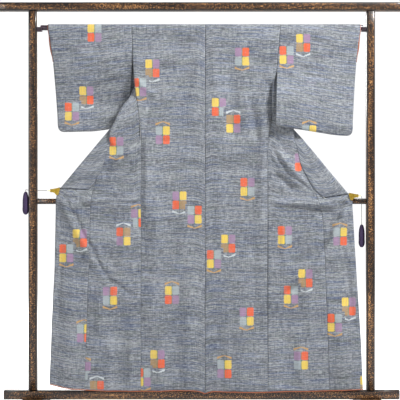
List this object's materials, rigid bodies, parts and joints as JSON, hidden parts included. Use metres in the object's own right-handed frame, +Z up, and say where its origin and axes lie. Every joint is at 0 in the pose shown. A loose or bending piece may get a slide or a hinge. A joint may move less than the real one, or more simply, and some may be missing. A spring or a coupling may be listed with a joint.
{
  "type": "tsumugi kimono on a kimono stand",
  "caption": "Lined tsumugi kimono hung from behind over the rod of a lacquered kimono stand, its fronts drawn open to the sides by small clips.",
  "frame": {"origin": "centre of the object's box at floor level, between the stand's feet", "axes": "+X along the rod, to the right as the kimono's back is seen; -Y is the side that the back faces; +Z up"},
  "size_m": [1.79, 0.42, 1.7295],
  "materials": {
    "cloth": "blue-grey slubbed silk, matt with a faint sheen",
    "lining": "orange-red silk lining",
    "lacquer": "dark brown lacquer with fine gold-brown speckle, glossy",
    "dark_rod": "purplish-black lacquer, satin",
    "gold": "polished gold-coloured plating",
    "cord": "thin grey cord",
    "weight": "dark purple cloth-covered weight"
  },
  "bodies": {
    "root": {"body_left": "cloth", "body_right": "cloth", "okumi_left": "cloth", "okumi_right": "cloth", "sleeve_left": "cloth", "sleeve_right": "cloth", "collar": "cloth", "over_collar": "cloth", "cuff_lining_left": "lining", "hem_lining_back_left": "lining", "hem_lining_front_left": "lining", "hem_lining_okumi_left": "lining", "cuff_lining_right": "lining", "hem_lining_back_right": "lining", "hem_lining_front_right": "lining", "hem_lining_okumi_right": "lining", "stand_top_bar": "lacquer", "stand_middle_rail": "lacquer", "stand_lower_rail": "lacquer", "stand_post_left": "lacquer", "stand_post_right": "lacquer", "stand_foot_left": "lacquer", "stand_foot_right": "lacquer", "rod": "dark_rod", "rod_hook_left": "dark_rod", "rod_hook_right": "dark_rod", "clip_left": "gold", "clip_right": "gold", "cord_left": "cord", "cord_right": "cord", "weight_left": "weight", "weight_right": "weight"}
  },
  "joints": []
}
